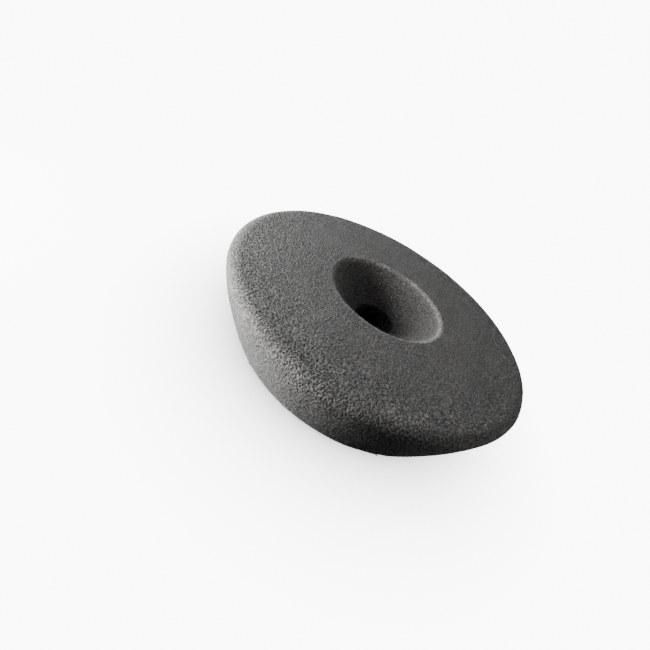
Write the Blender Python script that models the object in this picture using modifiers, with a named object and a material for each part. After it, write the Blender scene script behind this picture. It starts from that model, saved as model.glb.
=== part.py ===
"""Small foam polishing pad for a car polisher, lying on its hook-and-loop backing with the working face up.

Three bonded pieces on one axis: a tapered foam body with a dished centre and a bore,
a thin adhesive film, and a disc of loop fabric that a hook-faced backing plate grips.
Units are metres, +Z is the pad's axis, and the origin is the centre of the fabric's underside.
"""

import math

import bmesh
import bpy

# Driving dimensions
PAD_RADIUS = 0.045
PAD_HEIGHT = 0.020
BACKING_RADIUS = 0.038
BACKING_THICKNESS = 0.0010
FILM_THICKNESS = 0.0003
FILM_INSET = 0.0004
BOND_GAP = 0.0003

# The working face, a slight crown that falls from the dish's rim to the rounded outer edge,
# and the side below it, which curves in to the backing
CROWN_DROP = 0.0003
EDGE_REACH = 0.0030
EDGE_DROP = 0.0020
SIDE_BULGE_POWER = 1.3

# The dish in the middle of the face, and the bore that goes down from it to the film
DISH_RADIUS = 0.0167
DISH_DEPTH = 0.0083
DISH_HOLLOW = 0.35
RIM_ROUND = 0.0011
BORE_RADIUS = 0.0062
MOUTH_ROUND = 0.0006
FABRIC_EDGE_ROUND = 0.0004

# Fineness of the turned shapes
TURN_STEPS = 96
FACE_POINTS = 4
EDGE_POINTS = 6
SIDE_POINTS = 7
DISH_POINTS = 5
ROUND_POINTS = 3
SHARP_EDGE = math.radians(35)

FILM_FOOT = BACKING_THICKNESS + BOND_GAP
FOAM_FOOT = FILM_FOOT + FILM_THICKNESS + BOND_GAP
FILM_RADIUS = BACKING_RADIUS - FILM_INSET
FOAM_FOOT_RADIUS = BACKING_RADIUS - FILM_INSET / 2


def clear_scene():
    """Remove what the scene holds, so that only the pad is left."""
    for obj in list(bpy.data.objects):
        bpy.data.objects.remove(obj)


def make_material(name, colour, roughness, metallic=0.0):
    """A Principled material in one plain colour."""
    material = bpy.data.materials.new(name)
    material.use_nodes = True
    shader = material.node_tree.nodes["Principled BSDF"]
    shader.inputs["Base Color"].default_value = (*colour, 1.0)
    shader.inputs["Roughness"].default_value = roughness
    shader.inputs["Metallic"].default_value = metallic
    return material


def arc(centre, reach, rise, start, end, points):
    """Points on an ellipse's arc about centre, from the start angle to the end angle in degrees."""
    turns = [math.radians(start + (end - start) * i / points) for i in range(points + 1)]
    return [(centre[0] + reach * math.cos(a), centre[1] + rise * math.sin(a)) for a in turns]


def bore_outline():
    """The bore's wall from the foam's foot up to its rounded mouth in the dish."""
    crest = (BORE_RADIUS + MOUTH_ROUND, PAD_HEIGHT - DISH_DEPTH - MOUTH_ROUND)
    mouth = arc(crest, MOUTH_ROUND, MOUTH_ROUND, 180, 115, ROUND_POINTS)
    return [(BORE_RADIUS, FOAM_FOOT), *mouth]


def dish_outline():
    """The dish's wall from the bore's mouth up to the rim: a cone hollowed into a shallow bowl."""
    inner = BORE_RADIUS + 2 * MOUTH_ROUND
    outer = DISH_RADIUS - RIM_ROUND / 2
    floor = PAD_HEIGHT - DISH_DEPTH
    rise = DISH_DEPTH - RIM_ROUND
    outline = []
    for i in range(1, DISH_POINTS + 1):
        t = i / DISH_POINTS
        height = (1 - DISH_HOLLOW) * t + DISH_HOLLOW * t * t
        outline.append((inner + (outer - inner) * t, floor + rise * height))
    return outline


def face_outline():
    """The rounded rim of the dish, then the crowned face out to where its edge begins."""
    start = DISH_RADIUS + RIM_ROUND
    end = PAD_RADIUS - EDGE_REACH
    rim = arc((start, PAD_HEIGHT - RIM_ROUND), RIM_ROUND, RIM_ROUND, 150, 90, ROUND_POINTS)
    face = []
    for i in range(1, FACE_POINTS + 1):
        t = i / FACE_POINTS
        face.append((start + (end - start) * t, PAD_HEIGHT - CROWN_DROP * t * t))
    return rim + face


def side_outline():
    """The face's rounded edge, then the side that curves in towards the backing."""
    edge_z = PAD_HEIGHT - CROWN_DROP - EDGE_DROP
    centre = (PAD_RADIUS - EDGE_REACH, edge_z)
    edge = arc(centre, EDGE_REACH, EDGE_DROP, 90, 0, EDGE_POINTS)[1:]
    side = []
    for i in range(1, SIDE_POINTS + 1):
        t = i / SIDE_POINTS
        radius = PAD_RADIUS - (PAD_RADIUS - FOAM_FOOT_RADIUS) * t**SIDE_BULGE_POWER
        side.append((radius, edge_z - (edge_z - FOAM_FOOT) * t))
    return edge + side


def add_object(name, bm, material, collection):
    """The bmesh as an object in the pad's collection, with its material."""
    mesh = bpy.data.meshes.new(name)
    bm.to_mesh(mesh)
    bm.free()
    mesh.materials.append(material)
    obj = bpy.data.objects.new(name, mesh)
    collection.objects.link(obj)
    return obj


def turned(name, outline, material, collection):
    """A ring-shaped solid: a closed outline at +X, turned once about the Z axis."""
    bm = bmesh.new()
    verts = [bm.verts.new((radius, 0.0, height)) for radius, height in outline]
    for start, end in zip(verts, verts[1:] + verts[:1]):
        bm.edges.new((start, end))
    obj = add_object(name, bm, material, collection)
    screw = obj.modifiers.new("turn", "SCREW")
    screw.axis = "Z"
    screw.steps = TURN_STEPS
    screw.render_steps = TURN_STEPS
    screw.use_merge_vertices = True
    screw.merge_threshold = 0.00001
    screw.use_smooth_shade = True
    return obj


def disc(name, radius, foot, thickness, material, collection):
    """A flat disc on the Z axis that stands on the height foot."""
    bm = bmesh.new()
    bmesh.ops.create_cone(
        bm, cap_ends=True, segments=TURN_STEPS, radius1=radius, radius2=radius, depth=thickness
    )
    obj = add_object(name, bm, material, collection)
    obj.location = (0.0, 0.0, foot + thickness / 2)
    obj.data.shade_smooth()
    obj.data.set_sharp_from_angle(angle=SHARP_EDGE)
    return obj


def make_foam_body(collection):
    """Open-cell polyurethane foam, cut with a dish and bored through."""
    charcoal = make_material("charcoal_foam", (0.115, 0.116, 0.113), 0.95)
    outline = bore_outline() + dish_outline() + face_outline() + side_outline()
    turned("foam_body", outline, charcoal, collection)


def make_adhesive_film(collection):
    """Hot-melt film that bonds the fabric to the foam and closes the bore's foot."""
    black = make_material("adhesive_film", (0.02, 0.02, 0.021), 0.6)
    disc("adhesive_film", FILM_RADIUS, FILM_FOOT, FILM_THICKNESS, black, collection)


def make_loop_backing(collection):
    """Knitted loop fabric: the ground cloth and its pile, as deep as it stands uncrushed."""
    white = make_material("white_loop_fabric", (0.80, 0.85, 0.88), 0.9)
    fabric = disc("loop_backing", BACKING_RADIUS, 0.0, BACKING_THICKNESS, white, collection)
    bevel = fabric.modifiers.new("soft edge", "BEVEL")
    bevel.width = FABRIC_EDGE_ROUND
    bevel.segments = 2
    bevel.limit_method = "ANGLE"
    bevel.angle_limit = SHARP_EDGE


def main():
    clear_scene()
    collection = bpy.data.collections.new("polishing_pad")
    bpy.context.scene.collection.children.link(collection)
    make_foam_body(collection)
    make_adhesive_film(collection)
    make_loop_backing(collection)


main()
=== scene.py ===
"""The looks of a small foam polishing pad: cut open-cell foam on a loop-fabric backing, lying on its backing.

Laid out as an add-on and run as a script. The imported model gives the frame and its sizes, and each operator
makes one group of pieces, or the stage around the pad. Lengths are metres, and +Z is the pad's axis.
"""

import math
import random

import bmesh
import bpy
from bpy.props import FloatProperty, FloatVectorProperty, IntProperty, PointerProperty
from mathutils import Matrix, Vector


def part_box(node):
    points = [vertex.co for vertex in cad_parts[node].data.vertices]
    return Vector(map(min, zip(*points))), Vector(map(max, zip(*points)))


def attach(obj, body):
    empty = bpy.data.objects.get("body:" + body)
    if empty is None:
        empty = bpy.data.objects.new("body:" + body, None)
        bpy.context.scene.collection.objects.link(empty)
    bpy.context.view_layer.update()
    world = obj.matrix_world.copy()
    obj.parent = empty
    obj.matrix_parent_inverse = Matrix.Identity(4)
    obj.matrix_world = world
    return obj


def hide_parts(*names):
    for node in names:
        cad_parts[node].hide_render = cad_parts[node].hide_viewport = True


bl_info = {
    "name": "Foam Polishing Pad",
    "version": (1, 0, 0),
    "blender": (4, 5, 0),
    "location": "3D View > Sidebar > Polishing Pad",
    "description": "Builds a dished foam polishing pad with a loop-fabric backing, and a pale stage for it",
    "category": "Object",
}

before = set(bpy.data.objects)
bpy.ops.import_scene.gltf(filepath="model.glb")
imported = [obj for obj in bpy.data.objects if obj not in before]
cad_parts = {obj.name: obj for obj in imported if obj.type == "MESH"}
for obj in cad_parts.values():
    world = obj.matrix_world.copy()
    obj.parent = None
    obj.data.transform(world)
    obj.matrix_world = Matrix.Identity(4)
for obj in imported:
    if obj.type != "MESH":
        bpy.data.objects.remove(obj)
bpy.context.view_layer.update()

MM = 0.001
FOOT_GAP = 0.2 * MM
FOAM_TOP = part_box("foam_body")[1]
FILM_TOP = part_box("adhesive_film")[1]
CLOTH_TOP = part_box("loop_backing")[1]


def linear(hex_code):
    """An sRGB hex colour, such as 5F5F5D, as linear red, green and blue."""
    channels = [int(hex_code[i : i + 2], 16) / 255 for i in (0, 2, 4)]
    return tuple(c / 12.92 if c <= 0.04045 else ((c + 0.055) / 1.055) ** 2.4 for c in channels)


class FoamSettings(bpy.types.PropertyGroup):
    """The foam body's shape, grain and colours."""

    radius: FloatProperty(
        name="Face Radius", description="Widest radius, just below the working face",
        default=FOAM_TOP[0], min=0.02, unit="LENGTH",
    )
    foot_radius: FloatProperty(
        name="Foot Radius", description="Radius where the foam meets its backing",
        default=37.8 * MM, min=0.02, unit="LENGTH",
    )
    top: FloatProperty(
        name="Face Height", description="Height of the working face above the floor",
        default=FOAM_TOP[2], min=0.01, unit="LENGTH",
    )
    crown: FloatProperty(
        name="Crown", description="How far the face falls from the dish to its outer edge",
        default=0.3 * MM, min=0.0, unit="LENGTH",
    )
    edge_reach: FloatProperty(
        name="Edge Reach", description="How far in from the side the face's edge is rounded",
        default=3.0 * MM, min=0.0, unit="LENGTH",
    )
    edge_drop: FloatProperty(
        name="Edge Drop", description="How far down from the face its edge is rounded",
        default=2.0 * MM, min=0.0, unit="LENGTH",
    )
    dish_radius: FloatProperty(
        name="Dish Radius", description="Radius of the dish's rim",
        default=16.7 * MM, min=0.0, unit="LENGTH",
    )
    dish_depth: FloatProperty(
        name="Dish Depth", description="Depth of the bore's mouth below the face",
        default=8.3 * MM, min=0.0, unit="LENGTH",
    )
    rim_round: FloatProperty(
        name="Rim Rounding", description="Radius of the dish's rim in section",
        default=1.1 * MM, min=0.0, unit="LENGTH",
    )
    dish_hollow: FloatProperty(
        name="Dish Hollow", description="How hollow the dish's wall is: 0 is a plain cone",
        default=0.35, min=0.0, max=1.0,
    )
    side_bulge: FloatProperty(
        name="Side Bulge", description="Power of the side's taper: 1 is a straight cone",
        default=1.3, min=1.0,
    )
    bore_radius: FloatProperty(
        name="Bore Radius", description="Radius of the hole in the middle",
        default=6.2 * MM, min=0.0, unit="LENGTH",
    )
    mouth_round: FloatProperty(
        name="Mouth Rounding", description="Radius of the bore's mouth in section",
        default=0.6 * MM, min=0.0, unit="LENGTH",
    )
    cell: FloatProperty(
        name="Cell Size", description="Width of one cell of the foam",
        default=0.55 * MM, min=0.1 * MM, unit="LENGTH",
    )
    pore_depth: FloatProperty(
        name="Pore Depth", description="Depth of the cut cells in the mesh",
        default=0.13 * MM, min=0.0, unit="LENGTH",
    )
    spacing: FloatProperty(
        name="Mesh Spacing", description="Distance between the foam's vertices",
        default=0.29 * MM, min=0.1 * MM, unit="LENGTH",
    )
    strut: FloatVectorProperty(
        name="Strut Colour", description="The cut walls between the cells, dyed through",
        subtype="COLOR", default=linear("6B6B69"), min=0.0, max=1.0,
    )
    pore: FloatVectorProperty(
        name="Pore Colour", description="The shaded inside of the cells",
        subtype="COLOR", default=linear("2E2E2D"), min=0.0, max=1.0,
    )


class ClothSettings(bpy.types.PropertyGroup):
    """The loop fabric, its print, and the film that bonds it."""

    radius: FloatProperty(
        name="Radius", description="Radius of the fabric disc", default=CLOTH_TOP[0], min=0.01, unit="LENGTH",
    )
    ground: FloatProperty(
        name="Ground Thickness", description="Thickness of the knitted ground cloth",
        default=0.6 * MM, min=0.1 * MM, unit="LENGTH",
    )
    pitch: FloatProperty(
        name="Loop Pitch", description="Spacing of the loops along a row and between rows",
        default=1.25 * MM, min=0.5 * MM, unit="LENGTH",
    )
    yarn: FloatProperty(
        name="Yarn Radius", description="Radius of one loop's yarn",
        default=0.15 * MM, min=0.05 * MM, unit="LENGTH",
    )
    seed: IntProperty(name="Seed", description="Picks how the loops lean", default=7, min=0)
    white: FloatVectorProperty(
        name="Yarn Colour", description="Bleached polyester yarn",
        subtype="COLOR", default=linear("DDE6EA"), min=0.0, max=1.0,
    )
    ink: FloatVectorProperty(
        name="Ink Colour", description="The pale print on the yarn",
        subtype="COLOR", default=linear("7D93A3"), min=0.0, max=1.0,
    )
    # This colour is painted shade on the cloth's cut edge, low between the floor and the foam.
    edge_shade_colour: FloatVectorProperty(
        name="Edge Colour", description="Adhesive and foam dust on the cut edge",
        subtype="COLOR", default=linear("3A3A3A"), min=0.0, max=1.0,
    )
    glue: FloatVectorProperty(
        name="Film Colour", description="The dark adhesive film",
        subtype="COLOR", default=linear("1B1B1C"), min=0.0, max=1.0,
    )


class StageSettings(bpy.types.PropertyGroup):
    """The backdrop, the lights and the camera."""

    room: FloatProperty(
        name="Backdrop Radius", description="How far the floor runs before it sweeps up",
        default=1.6, min=0.5, unit="LENGTH",
    )
    board: FloatVectorProperty(
        name="Board Colour", description="The dark card that lights the pad", subtype="COLOR",
        default=linear("383838"), min=0.0, max=1.0,
    )
    glow: FloatProperty(
        name="Board Brightness", description="Glow of the board, seen by the camera only",
        default=10.0, min=0.0,
    )
    key: FloatProperty(
        name="Key Light", description="Power of the low light near the pad",
        default=0.92, min=0.0, unit="POWER",
    )
    back: FloatProperty(
        name="Back Light", description="Power of the strip behind the pad",
        default=0.85, min=0.0, unit="POWER",
    )
    fill: FloatProperty(
        name="Fill Light", description="Power of the low light on the right",
        default=0.42, min=0.0, unit="POWER",
    )
    top: FloatProperty(
        name="Top Light", description="Power of the light overhead",
        default=0.25, min=0.0, unit="POWER",
    )
    camera_place: FloatVectorProperty(
        name="Camera Place", description="Where the camera stands", subtype="TRANSLATION",
        default=(0.0, -93.18 * MM, 68.34 * MM),
    )
    camera_turn: FloatProperty(
        name="Camera Turn", description="How far the camera turns left of +Y", subtype="ANGLE",
        default=math.radians(7.04),
    )
    camera_down: FloatProperty(
        name="Camera Down", description="How far the camera looks down", subtype="ANGLE",
        default=math.radians(36.47),
    )
    camera_lean: FloatProperty(
        name="Camera Lean", description="How far the camera leans to its left", subtype="ANGLE",
        default=math.radians(30.23),
    )
    lens: FloatProperty(name="Lens", description="Focal length in millimetres", default=20.2, min=1.0)


def arc(centre, reach, rise, start, end, steps):
    """Points on an ellipse's arc about centre, from the start angle to the end angle in degrees."""
    turns = [math.radians(start + (end - start) * i / steps) for i in range(steps + 1)]
    return [(centre[0] + reach * math.cos(a), centre[1] + rise * math.sin(a)) for a in turns]


def foam_outline(foam, foot):
    """Half of the foam's section, as radius and height: up the bore, over the face and down the side."""
    mouth = (foam.bore_radius + foam.mouth_round, foam.top - foam.dish_depth - foam.mouth_round)
    outline = [(foam.bore_radius, foot)]
    outline += arc(mouth, foam.mouth_round, foam.mouth_round, 180, 115, 6)
    inner = foam.bore_radius + 2 * foam.mouth_round
    outer = foam.dish_radius - foam.rim_round / 2
    rise = foam.dish_depth - foam.rim_round
    for i in range(1, 13):
        t = i / 12
        climb = (1 - foam.dish_hollow) * t + foam.dish_hollow * t * t
        outline.append((inner + (outer - inner) * t, foam.top - foam.dish_depth + rise * climb))
    rim = (foam.dish_radius + foam.rim_round, foam.top - foam.rim_round)
    outline += arc(rim, foam.rim_round, foam.rim_round, 150, 90, 5)
    face_end = foam.radius - foam.edge_reach
    for i in range(1, 7):
        t = i / 6
        outline.append((rim[0] + (face_end - rim[0]) * t, foam.top - foam.crown * t * t))
    edge = (face_end, foam.top - foam.crown - foam.edge_drop)
    outline += arc(edge, foam.edge_reach, foam.edge_drop, 90, 0, 12)[1:]
    for i in range(1, 17):
        t = i / 16
        radius = foam.radius - (foam.radius - foam.foot_radius) * t**foam.side_bulge
        outline.append((radius, edge[1] - (edge[1] - foot) * t))
    return outline


def turned(outline, steps, ring=True):
    """The outline, at +X, turned once about the Z axis. A ring's outline closes on itself."""
    bm = bmesh.new()
    verts = [bm.verts.new((radius, 0.0, height)) for radius, height in outline]
    pairs = zip(verts, verts[1:] + verts[:1]) if ring else zip(verts, verts[1:])
    edges = [bm.edges.new(pair) for pair in pairs]
    bmesh.ops.spin(
        bm, geom=verts + edges, cent=(0, 0, 0), axis=(0, 0, 1), angle=2 * math.pi, steps=steps, use_merge=True
    )
    bmesh.ops.remove_doubles(bm, verts=bm.verts[:], dist=1e-6)
    bmesh.ops.recalc_face_normals(bm, faces=bm.faces[:])
    return bm


def add_piece(name, bm, material):
    """The bmesh as an object at the origin, shaded smooth, with its material."""
    mesh = bpy.data.meshes.new(name)
    bm.to_mesh(mesh)
    bm.free()
    mesh.shade_smooth()
    mesh.materials.append(material)
    piece = bpy.data.objects.new(name, mesh)
    bpy.context.scene.collection.objects.link(piece)
    return piece


def keep_shape(piece):
    """Makes the piece's mesh what its modifiers make of it, and takes them off."""
    bpy.context.view_layer.update()
    shaped = piece.evaluated_get(bpy.context.evaluated_depsgraph_get())
    mesh = bpy.data.meshes.new_from_object(shaped)
    old, name = piece.data, piece.data.name
    piece.modifiers.clear()
    piece.data = mesh
    bpy.data.meshes.remove(old)
    mesh.name = name


def displace(piece, name, kind, grain, strength):
    """Pushes the piece's surface in and out by a solid pattern whose grain is that wide."""
    texture = bpy.data.textures.new(name, kind)
    texture.noise_scale = grain
    modifier = piece.modifiers.new(name, "DISPLACE")
    modifier.texture = texture
    modifier.texture_coords = "LOCAL"
    modifier.mid_level = 0.5
    modifier.strength = strength


def new_material(name):
    """A node material with only a Principled shader and its output, as (material, tree, shader)."""
    material = bpy.data.materials.new(name)
    material.use_nodes = True
    tree = material.node_tree
    tree.nodes.clear()
    shader = node(tree, "BsdfPrincipled")
    node(tree, "OutputMaterial", links={"Surface": shader.outputs[0]})
    return material, tree, shader


def node(tree, kind, settings=None, values=None, links=None):
    """Adds a node with its own settings, its inputs' values, and the outputs that its inputs come from."""
    made = tree.nodes.new("ShaderNode" + kind)
    for key, value in (settings or {}).items():
        setattr(made, key, value)
    for key, value in (values or {}).items():
        made.inputs[key].default_value = value
    for key, output in (links or {}).items():
        tree.links.new(output, made.inputs[key])
    return made


def foam_material(foam):
    """Open-cell polyurethane foam, dyed through and cut, so that every surface shows sliced cells: matt dark
    grey struts around darker hollows, with a faint sheen at a glancing angle. The tones are tuned."""
    material, tree, shader = new_material("Dyed Polyurethane Foam")
    place = node(tree, "TexCoord").outputs["Object"]
    # The cells are 0.55 mm wide, and the walls between them a third of that.
    cells = node(
        tree, "TexVoronoi", {"feature": "F1"}, {"Scale": 1 / foam.cell, "Randomness": 1.0}, {"Vector": place}
    )
    walls = node(
        tree, "TexNoise", {}, {"Scale": 3 / foam.cell, "Detail": 2.0, "Roughness": 0.6}, {"Vector": place}
    )
    specks = node(tree, "TexNoise", {}, {"Scale": 1.6 / foam.cell, "Detail": 1.0}, {"Vector": place})
    blotch = node(
        tree, "TexNoise", {}, {"Scale": 1 / (7 * MM), "Detail": 3.0, "Roughness": 0.55}, {"Vector": place}
    )
    ridges = node(tree, "NewGeometry").outputs["Pointiness"]
    high = node(
        tree, "MapRange", {"interpolation_type": "SMOOTHSTEP"},
        {"From Min": 0.42, "From Max": 0.58, "To Min": 0.0, "To Max": 1.0}, {"Value": ridges},
    )
    open_cell = node(
        tree, "MapRange", {"interpolation_type": "SMOOTHSTEP"},
        {"From Min": 0.15, "From Max": 0.75, "To Min": 0.0, "To Max": 1.0},
        {"Value": cells.outputs["Distance"]},
    )
    half_high = node(tree, "Math", {"operation": "MULTIPLY"}, {1: 0.5}, {0: high.outputs[0]})
    strut_share = node(
        tree, "Math", {"operation": "MULTIPLY_ADD"}, {1: 0.5},
        {0: open_cell.outputs[0], 2: half_high.outputs[0]},
    )
    # Cell middles and the mesh's hollows get the dark pore colour, which is painted shade in the cells; the
    # ridges lean to the strut colour.
    base = node(
        tree, "Mix", {"data_type": "RGBA"},
        {6: (*foam.pore, 1.0), 7: (*foam.strut, 1.0)}, {0: strut_share.outputs[0]},
    )
    # The tone varies a little over a few millimetres.
    tone = node(
        tree, "MapRange", {}, {"From Min": 0.3, "From Max": 0.7, "To Min": 0.90, "To Max": 1.10},
        {"Value": blotch.outputs[0]},
    )
    # The dish's rim is drawn lighter: a painted highlight, a thin bright line along the rim.
    across = node(tree, "VectorMath", {"operation": "MULTIPLY"}, {1: (1.0, 1.0, 0.0)}, {0: place})
    radius = node(tree, "VectorMath", {"operation": "LENGTH"}, {}, {0: across.outputs[0]})
    off_rim = node(
        tree, "Math", {"operation": "SUBTRACT"},
        {1: foam.dish_radius + 0.6 * MM}, {0: radius.outputs["Value"]},
    )
    off_rim = node(tree, "Math", {"operation": "ABSOLUTE"}, {}, {0: off_rim.outputs[0]})
    rim_highlight = node(
        tree, "MapRange", {"interpolation_type": "SMOOTHSTEP"},
        {"From Min": 0.3 * MM, "From Max": 1.0 * MM, "To Min": 1.6, "To Max": 1.0},
        {"Value": off_rim.outputs[0]},
    )
    tone = node(tree, "Math", {"operation": "MULTIPLY"}, {}, {0: tone.outputs[0], 1: rim_highlight.outputs[0]})
    # The dish is drawn darker than the face: painted shade in the recess, which stands in for lighting that
    # isn't known.
    hollow = node(
        tree, "MapRange", {"interpolation_type": "SMOOTHSTEP"},
        {"From Min": foam.dish_radius - 1.0 * MM, "From Max": foam.dish_radius + 0.1 * MM, "To Min": 0.70,
         "To Max": 1.0}, {"Value": radius.outputs["Value"]},
    )
    tone = node(tree, "Math", {"operation": "MULTIPLY"}, {}, {0: tone.outputs[0], 1: hollow.outputs[0]})
    # Single struts catch the light or don't: a speckle as fine as the cells.
    fleck = node(
        tree, "MapRange", {}, {"From Min": 0.35, "From Max": 0.65, "To Min": 0.4, "To Max": 1.6},
        {"Value": specks.outputs[0]},
    )
    tone = node(tree, "Math", {"operation": "MULTIPLY"}, {}, {0: tone.outputs[0], 1: fleck.outputs[0]})
    shown = node(
        tree, "VectorMath", {"operation": "SCALE"}, {}, {0: base.outputs[2], "Scale": tone.outputs[0]}
    )
    tree.links.new(shown.outputs[0], shader.inputs["Base Color"])
    relief = node(tree, "Math", {"operation": "MULTIPLY_ADD"}, {1: 0.35},
                  {0: walls.outputs[0], 2: open_cell.outputs[0]})
    bump = node(tree, "Bump", {}, {"Strength": 0.6, "Distance": 0.15 * MM}, {"Height": relief.outputs[0]})
    tree.links.new(bump.outputs[0], shader.inputs["Normal"])
    shader.inputs["Roughness"].default_value = 0.92
    shader.inputs["IOR"].default_value = 1.5
    shader.inputs["Specular IOR Level"].default_value = 0.25
    shader.inputs["Sheen Weight"].default_value = 0.05
    shader.inputs["Sheen Roughness"].default_value = 0.55
    return material


def fabric_material(cloth):
    """Brushed polyester loop fabric: bleached filament yarn with a soft sheen, printed in a thin pale ink."""
    material, tree, shader = new_material("Brushed Loop Fabric")
    place = node(tree, "TexCoord").outputs["Object"]
    axes = node(tree, "SeparateXYZ", {}, {}, {0: place})
    x, y = axes.outputs[0], axes.outputs[1]
    across = node(tree, "VectorMath", {"operation": "MULTIPLY"}, {1: (1.0, 1.0, 0.0)}, {0: place})
    radius = node(tree, "VectorMath", {"operation": "LENGTH"}, {}, {0: across.outputs[0]}).outputs["Value"]
    angle = node(tree, "Math", {"operation": "ARCTAN2"}, {}, {0: y, 1: x}).outputs[0]

    # An arc of short dashes near the edge, of uneven length and spacing.
    count = node(tree, "Math", {"operation": "MULTIPLY"}, {1: 30.0}, {0: angle})
    whole = node(tree, "Math", {"operation": "FLOOR"}, {}, {0: count.outputs[0]})
    chance = node(tree, "TexWhiteNoise", {"noise_dimensions": "1D"}, {}, {"W": whole.outputs[0]})
    dash = node(
        tree, "Math", {"operation": "GREATER_THAN"}, {1: 0.38}, {0: chance.outputs["Value"]}
    ).outputs[0]
    band = node(tree, "Math", {"operation": "COMPARE"}, {1: 32.0 * MM, 2: 1.0 * MM}, {0: radius}).outputs[0]
    sector = node(
        tree, "Math", {"operation": "COMPARE"}, {1: -math.pi / 2, 2: math.radians(66)}, {0: angle}
    ).outputs[0]
    mask = node(tree, "Math", {"operation": "MULTIPLY"}, {}, {0: band, 1: sector}).outputs[0]
    mask = node(tree, "Math", {"operation": "MULTIPLY"}, {}, {0: mask, 1: dash}).outputs[0]
    # Two short bars inside the arc.
    for middle, half in ((-14.0 * MM, 9.0 * MM), (-17.5 * MM, 6.5 * MM)):
        level = node(tree, "Math", {"operation": "COMPARE"}, {1: middle, 2: 0.8 * MM}, {0: y}).outputs[0]
        width = node(tree, "Math", {"operation": "COMPARE"}, {1: 0.0, 2: half}, {0: x}).outputs[0]
        bar = node(tree, "Math", {"operation": "MULTIPLY"}, {}, {0: level, 1: width}).outputs[0]
        mask = node(tree, "Math", {"operation": "MAXIMUM"}, {}, {0: mask, 1: bar}).outputs[0]
    # Filaments are about 0.02 mm thick, and are drawn at 0.12 mm so that they show.
    strands = node(
        tree, "TexNoise", {}, {"Scale": 1 / (0.12 * MM), "Detail": 2.0}, {"Vector": place}
    ).outputs[0]
    cover = node(
        tree, "MapRange", {},
        {"From Min": 0.35, "From Max": 0.6, "To Min": 0.35, "To Max": 0.85}, {"Value": strands},
    )
    inked = node(tree, "Math", {"operation": "MULTIPLY"}, {}, {0: mask, 1: cover.outputs[0]}).outputs[0]
    printed = node(
        tree, "Mix", {"data_type": "RGBA"}, {6: (*cloth.white, 1.0), 7: (*cloth.ink, 1.0)}, {0: inked}
    )
    # The cut edge is drawn dark: painted shade where the edge sits low between the floor and the foam.
    edge_shade = node(
        tree, "MapRange", {"interpolation_type": "SMOOTHSTEP"},
        {"From Min": cloth.radius - 0.7 * MM, "From Max": cloth.radius - 0.2 * MM, "To Max": 0.85},
        {"Value": radius},
    )
    shown = node(
        tree, "Mix", {"data_type": "RGBA"}, {7: (*cloth.edge_shade_colour, 1.0)},
        {0: edge_shade.outputs[0], 6: printed.outputs[2]},
    )
    tree.links.new(shown.outputs[2], shader.inputs["Base Color"])
    bump = node(tree, "Bump", {}, {"Strength": 0.6, "Distance": 0.05 * MM}, {"Height": strands})
    tree.links.new(bump.outputs[0], shader.inputs["Normal"])
    shader.inputs["Roughness"].default_value = 0.75
    shader.inputs["IOR"].default_value = 1.57
    shader.inputs["Sheen Weight"].default_value = 0.3
    shader.inputs["Sheen Roughness"].default_value = 0.4
    return material


def film_material(cloth):
    """Hot-melt adhesive film between cloth and foam: a dark thin line, a little glossy and uneven."""
    material, tree, shader = new_material("Hot Melt Adhesive Film")
    place = node(tree, "TexCoord").outputs["Object"]
    flow = node(tree, "TexNoise", {}, {"Scale": 1 / (1.5 * MM), "Detail": 3.0}, {"Vector": place}).outputs[0]
    shade = node(
        tree, "Mix", {"data_type": "RGBA"},
        {6: (*cloth.glue, 1.0), 7: (*(2.2 * c for c in cloth.glue), 1.0)}, {0: flow},
    )
    tree.links.new(shade.outputs[2], shader.inputs["Base Color"])
    rough = node(tree, "MapRange", {}, {"To Min": 0.4, "To Max": 0.65}, {"Value": flow})
    tree.links.new(rough.outputs[0], shader.inputs["Roughness"])
    bump = node(tree, "Bump", {}, {"Strength": 0.4, "Distance": 0.1 * MM}, {"Height": flow})
    tree.links.new(bump.outputs[0], shader.inputs["Normal"])
    shader.inputs["IOR"].default_value = 1.5
    return material


def board_material(stage):
    """A stage finish and no real material: dark card that glows near white for the camera only, so that the
    pad gets no more light from it than from the card."""
    material, tree, shader = new_material("Glowing Stage Board")
    shader.inputs["Base Color"].default_value = (*stage.board, 1.0)
    shader.inputs["Roughness"].default_value = 0.95
    seen = node(tree, "LightPath").outputs["Is Camera Ray"]
    # A drawn shade near the pad, from how much of the sky each point sees. It isn't a traced shadow.
    open_sky = node(tree, "AmbientOcclusion", {"samples": 8}, {"Distance": 30 * MM}).outputs["AO"]
    shade = node(tree, "Math", {"operation": "POWER"}, {1: 1.5}, {0: open_sky})
    shade = node(tree, "Math", {"operation": "MULTIPLY"}, {1: stage.glow}, {0: shade.outputs[0]})
    power = node(tree, "Math", {"operation": "MULTIPLY"}, {}, {0: seen, 1: shade.outputs[0]})
    glow = node(tree, "Emission", {}, {"Color": (1.0, 1.0, 1.0, 1.0)}, {"Strength": power.outputs[0]})
    total = node(tree, "AddShader", {}, {}, {0: shader.outputs[0], 1: glow.outputs[0]})
    output = next(n for n in tree.nodes if n.type == "OUTPUT_MATERIAL")
    tree.links.new(total.outputs[0], output.inputs["Surface"])
    return material


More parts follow.
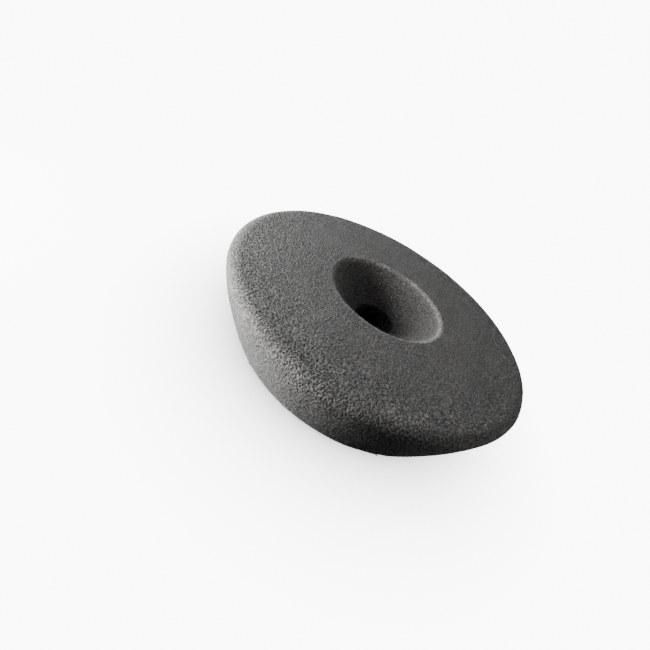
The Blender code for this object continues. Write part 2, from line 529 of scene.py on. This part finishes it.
class POLISHINGPAD_OT_foam(bpy.types.Operator):
    """Makes the dished foam body"""

    bl_idname = "polishingpad.foam"
    bl_label = "Foam Body"

    def execute(self, context):
        foam = context.scene.polishing_foam
        foot = CLOTH_TOP[2] + FOOT_GAP
        bm = turned(foam_outline(foam, foot - 1.0 * MM), 240)
        piece = add_piece("cut_foam", bm, foam_material(foam))
        even = piece.modifiers.new("Even Mesh", "REMESH")
        even.mode = "VOXEL"
        even.voxel_size = foam.spacing
        even.use_smooth_shade = True
        displace(piece, "Soft Unevenness", "CLOUDS", 9 * MM, 0.2 * MM)
        displace(piece, "Cut Cells", "VORONOI", foam.cell, foam.pore_depth)
        keep_shape(piece)
        bm = bmesh.new()
        bm.from_mesh(piece.data)
        # The foot is cut flat, because it is glued down where nothing shows.
        cut = bmesh.ops.bisect_plane(
            bm, geom=bm.verts[:] + bm.edges[:] + bm.faces[:], plane_co=(0, 0, foot), plane_no=(0, 0, -1),
            clear_outer=True,
        )
        rim = [e for e in cut["geom_cut"] if isinstance(e, bmesh.types.BMEdge)]
        bmesh.ops.triangle_fill(bm, use_beauty=True, edges=rim, normal=(0, 0, -1))
        bmesh.ops.recalc_face_normals(bm, faces=bm.faces[:])
        bm.to_mesh(piece.data)
        bm.free()
        piece.data.shade_smooth()
        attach(piece, "root")
        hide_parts("foam_body")
        return {"FINISHED"}


class POLISHINGPAD_OT_backing(bpy.types.Operator):
    """Makes the adhesive film, the knitted ground cloth and its loops"""

    bl_idname = "polishingpad.backing"
    bl_label = "Backing"

    def execute(self, context):
        cloth = context.scene.polishing_cloth
        fabric = fabric_material(cloth)
        ground_foot = CLOTH_TOP[2] - cloth.ground

        # The film fills the little room between cloth and foam, and bites into both.
        thick = 0.18 * MM
        middle = CLOTH_TOP[2] + FOOT_GAP / 2
        outline = [(0.0, middle + thick)]
        outline += [(r * MM, middle + thick) for r in (12.0, 24.0, 32.0)]
        outline += arc((FILM_TOP[0] - thick, middle), thick, thick, 90, -90, 6)
        outline += [(r * MM, middle - thick) for r in (32.0, 24.0, 12.0)] + [(0.0, middle - thick)]
        film = add_piece("bond_film", turned(outline, 360, ring=False), film_material(cloth))
        displace(film, "Squeezed Film", "CLOUDS", 1.6 * MM, 0.25 * MM)
        keep_shape(film)
        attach(film, "root")
        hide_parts("adhesive_film")

        half = cloth.ground / 2
        outline = [(0.0, CLOTH_TOP[2])]
        outline += [(r * MM, CLOTH_TOP[2]) for r in (10.0, 20.0, 28.0, 34.0)]
        outline += arc((cloth.radius - half, CLOTH_TOP[2] - half), half, half, 90, -90, 8)
        outline += [(r * MM, ground_foot) for r in (34.0, 28.0, 20.0, 10.0)] + [(0.0, ground_foot)]
        ground = add_piece("ground_cloth", turned(outline, 480, ring=False), fabric)
        displace(ground, "Cut Edge", "CLOUDS", 1.3 * MM, 0.22 * MM)
        keep_shape(ground)
        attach(ground, "root")
        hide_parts("loop_backing")

        loops = self.loops(cloth, ground_foot, fabric)
        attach(loops, "root")
        return {"FINISHED"}

    def loops(self, cloth, ground_foot, fabric):
        """Rows of leaning yarn loops all over the ground cloth's underside."""
        drop = ground_foot - 0.05 * MM
        one = bmesh.new()
        made = bmesh.ops.create_circle(
            one, cap_ends=True, segments=4, radius=cloth.yarn,
            matrix=Matrix.Translation((0.36 * cloth.pitch, 0, 0)),
        )
        geom = made["verts"] + one.edges[:] + one.faces[:]
        bmesh.ops.spin(one, geom=geom, cent=(0, 0, 0), axis=(0, 1, 0), angle=math.pi, steps=6)
        bmesh.ops.remove_doubles(one, verts=one.verts[:], dist=1e-6)
        bmesh.ops.recalc_face_normals(one, faces=one.faces[:])
        low = min(v.co.z for v in one.verts)
        bmesh.ops.scale(one, vec=(1, 1, drop / -low), verts=one.verts[:])
        template = bpy.data.meshes.new("one_loop")
        one.to_mesh(template)
        one.free()

        chance = random.Random(cloth.seed)
        field = bmesh.new()
        reach = cloth.radius - 0.35 * MM
        rows = int(reach / (0.87 * cloth.pitch))
        for row in range(-rows, rows + 1):
            y = row * 0.87 * cloth.pitch
            across = int(reach / cloth.pitch) + 1
            for i in range(-across, across + 1):
                x = (i + 0.5 * (row % 2)) * cloth.pitch
                if math.hypot(x, y) > reach:
                    continue
                lean = Matrix.Rotation(chance.uniform(-0.5, 0.5), 4, "X")
                turn = Matrix.Rotation(chance.uniform(-0.6, 0.6), 4, "Z")
                spot = Matrix.Translation((
                    x + chance.uniform(-0.15, 0.15) * cloth.pitch,
                    y + chance.uniform(-0.15, 0.15) * cloth.pitch,
                    ground_foot,
                ))
                loop = template.copy()
                loop.transform(spot @ turn @ lean)
                field.from_mesh(loop)
                bpy.data.meshes.remove(loop)
        bpy.data.meshes.remove(template)
        return add_piece("loop_pile", field, fabric)


class POLISHINGPAD_OT_stage(bpy.types.Operator):
    """Makes the backdrop, the lights and the camera"""

    bl_idname = "polishingpad.stage"
    bl_label = "Stage"

    def execute(self, context):
        stage = context.scene.polishing_stage
        # The floor sweeps up into a dome all round.
        half = stage.room * 0.5
        outline = [(0.0, 0.0), (0.3, 0.0), (half, 0.0)]
        outline += arc((half, half), half, half, -90, 90, 16)[1:]
        outline += [(0.0, stage.room)]
        backdrop = add_piece("backdrop", turned(outline, 96, ring=False), board_material(stage))
        # Each light's name, power, azimuth, elevation, distance, height and width, and tint.
        for row in (
            ("left_key", stage.key, 208, 4.0, 0.135, (0.07, 0.07), (1.0, 0.995, 0.985)),
            ("back_strip", stage.back, 120, 10, 0.3, (0.2, 0.5), (0.96, 0.98, 1.0)),
            ("right_fill", stage.fill, 10, 15, 0.3, (0.2, 0.2), (1.0, 1.0, 0.98)),
            ("overhead", stage.top, 190, 60, 0.4, (0.3, 0.3), (0.97, 0.985, 1.0)),
        ):
            self.light(context, *row)

        data = bpy.data.cameras.new("camera")
        data.sensor_width = 36.0
        data.lens = stage.lens
        data.clip_start = 0.005
        data.clip_end = 10.0
        camera = bpy.data.objects.new("camera", data)
        turn = Matrix.Rotation(stage.camera_turn, 4, "Z")
        tip = Matrix.Rotation(math.pi / 2 - stage.camera_down, 4, "X")
        lean = Matrix.Rotation(stage.camera_lean, 4, "Z")
        camera.matrix_world = Matrix.Translation(stage.camera_place) @ turn @ tip @ lean
        context.scene.collection.objects.link(camera)
        context.scene.camera = camera
        return {"FINISHED"}

    def light(self, context, name, power, azimuth, elevation, distance, size, tint):
        """A soft panel on a sphere about the pad's face, turned towards its middle. It isn't seen itself."""
        data = bpy.data.lights.new(name, "AREA")
        data.shape = "RECTANGLE"
        data.size, data.size_y = size
        data.energy = power
        data.color = tint
        lamp = bpy.data.objects.new(name, data)
        turn = Matrix.Rotation(math.radians(azimuth), 4, "Z")
        tip = Matrix.Rotation(math.radians(90 - elevation), 4, "Y")
        face = Matrix.Translation((0, 0, 20 * MM))
        lamp.matrix_world = face @ turn @ tip @ Matrix.Translation((0, 0, distance))
        lamp.visible_camera = False
        context.scene.collection.objects.link(lamp)


class POLISHINGPAD_PT_panel(bpy.types.Panel):
    """Lists the pad's pieces and the stage"""

    bl_label = "Polishing Pad"
    bl_idname = "POLISHINGPAD_PT_panel"
    bl_space_type = "VIEW_3D"
    bl_region_type = "UI"
    bl_category = "Polishing Pad"

    def draw(self, context):
        layout = self.layout
        for settings, operator in (
            ("polishing_foam", "polishingpad.foam"),
            ("polishing_cloth", "polishingpad.backing"),
            ("polishing_stage", "polishingpad.stage"),
        ):
            box = layout.box()
            box.operator(operator)
            group = getattr(context.scene, settings)
            for name in group.__annotations__:
                box.prop(group, name)


CLASSES = (
    FoamSettings, ClothSettings, StageSettings,
    POLISHINGPAD_OT_foam, POLISHINGPAD_OT_backing, POLISHINGPAD_OT_stage, POLISHINGPAD_PT_panel,
)


def register():
    for cls in CLASSES:
        bpy.utils.register_class(cls)
    bpy.types.Scene.polishing_foam = PointerProperty(type=FoamSettings)
    bpy.types.Scene.polishing_cloth = PointerProperty(type=ClothSettings)
    bpy.types.Scene.polishing_stage = PointerProperty(type=StageSettings)


def unregister():
    del bpy.types.Scene.polishing_stage
    del bpy.types.Scene.polishing_cloth
    del bpy.types.Scene.polishing_foam
    for cls in reversed(CLASSES):
        bpy.utils.unregister_class(cls)


def main():
    register()
    bpy.ops.polishingpad.stage()
    bpy.ops.polishingpad.foam()
    bpy.ops.polishingpad.backing()


if __name__ == "__main__":
    main()
